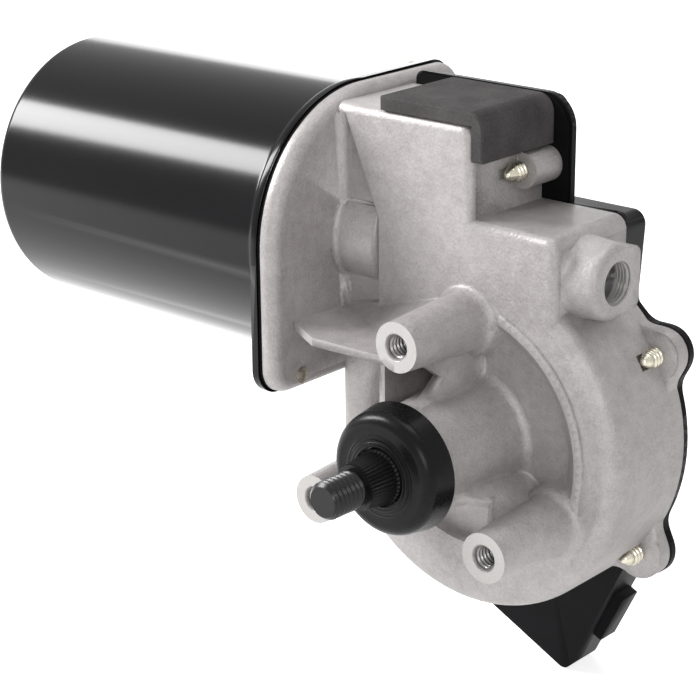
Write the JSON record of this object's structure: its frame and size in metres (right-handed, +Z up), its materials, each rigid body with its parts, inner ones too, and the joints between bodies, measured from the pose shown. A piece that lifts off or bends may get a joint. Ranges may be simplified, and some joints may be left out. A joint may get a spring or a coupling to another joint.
{
  "type": "wiper motor",
  "caption": "Windscreen wiper gear motor: black steel can, cast aluminium worm gear case with three threaded bosses, output shaft in a rubber boot, rear cover with connector.",
  "frame": {"origin": "on the output shaft's axis, level with the faces of the three mounting bosses", "axes": "-Y along the output shaft towards its threaded end, -X towards the motor can, +Z up"},
  "size_m": [0.17, 0.0875, 0.1315],
  "materials": {
    "cast_aluminium": "satin die-cast",
    "can_paint": "gloss black",
    "gasket_rubber": "smooth",
    "ferrite": "matte",
    "spring_steel": "plain",
    "sintered_bronze": "matte",
    "shaft_steel": "ground",
    "oxide_steel": "black oxide",
    "lamination_steel": "stacked sheet",
    "copper": "enamelled",
    "carbon": "pressed carbon",
    "phenolic": "moulded",
    "wheel_plastic": "moulded",
    "black_plastic": "fine grained",
    "board": "lacquered",
    "boot_rubber": "semi-gloss",
    "foam": "foam",
    "tinned_brass": "tinned",
    "zinc_steel": "zinc plated"
  },
  "bodies": {
    "housing": {"gear_housing": "cast_aluminium", "motor_can": "can_paint", "can_gasket": "gasket_rubber", "magnet_front": "ferrite", "magnet_back": "ferrite", "magnet_clips": "spring_steel", "rear_bearing": "sintered_bronze", "rear_bearing_retainer": "spring_steel", "front_bearing": "sintered_bronze", "end_bush": "sintered_bronze", "thrust_button": "shaft_steel", "adjusting_screw": "zinc_steel", "output_bush_front": "sintered_bronze", "output_bush_rear": "sintered_bronze", "brush_plate": "phenolic", "brush_common": "carbon", "brush_low_speed": "carbon", "brush_high_speed": "carbon", "brush_holders": "tinned_brass", "brush_springs": "spring_steel", "suppression_chokes": "ferrite", "thermal_breaker": "tinned_brass", "motor_leads": "tinned_brass", "shaft_boot": "boot_rubber", "cover_gasket": "gasket_rubber", "gear_cover": "black_plastic", "circuit_board": "board", "contact_fingers": "tinned_brass", "connector_terminals": "tinned_brass", "cover_screws": "zinc_steel", "flange_screws": "zinc_steel", "foam_pad": "foam"},
    "armature": {"armature_shaft": "shaft_steel", "lamination_stack": "lamination_steel", "armature_windings": "copper", "commutator": "copper"},
    "output": {"output_shaft": "oxide_steel", "wheel_hub": "shaft_steel", "worm_wheel": "wheel_plastic", "park_disc": "tinned_brass", "retaining_ring": "spring_steel", "front_washer": "spring_steel", "rear_washer": "spring_steel"}
  },
  "joints": [
    {"name": "output_spin", "type": "hinge", "parent": "housing", "child": "output", "pos_m": [0, 0, 0], "axis": [0, 1, 0], "continuous": true},
    {"name": "armature_spin", "type": "hinge", "parent": "housing", "child": "armature", "pos_m": [0, 0.033, 0.0377], "axis": [1, 0, 0], "continuous": true}
  ],
  "couplings": [
    {"joint": "armature_spin", "follows": "output_spin", "ratio": -50}
  ]
}
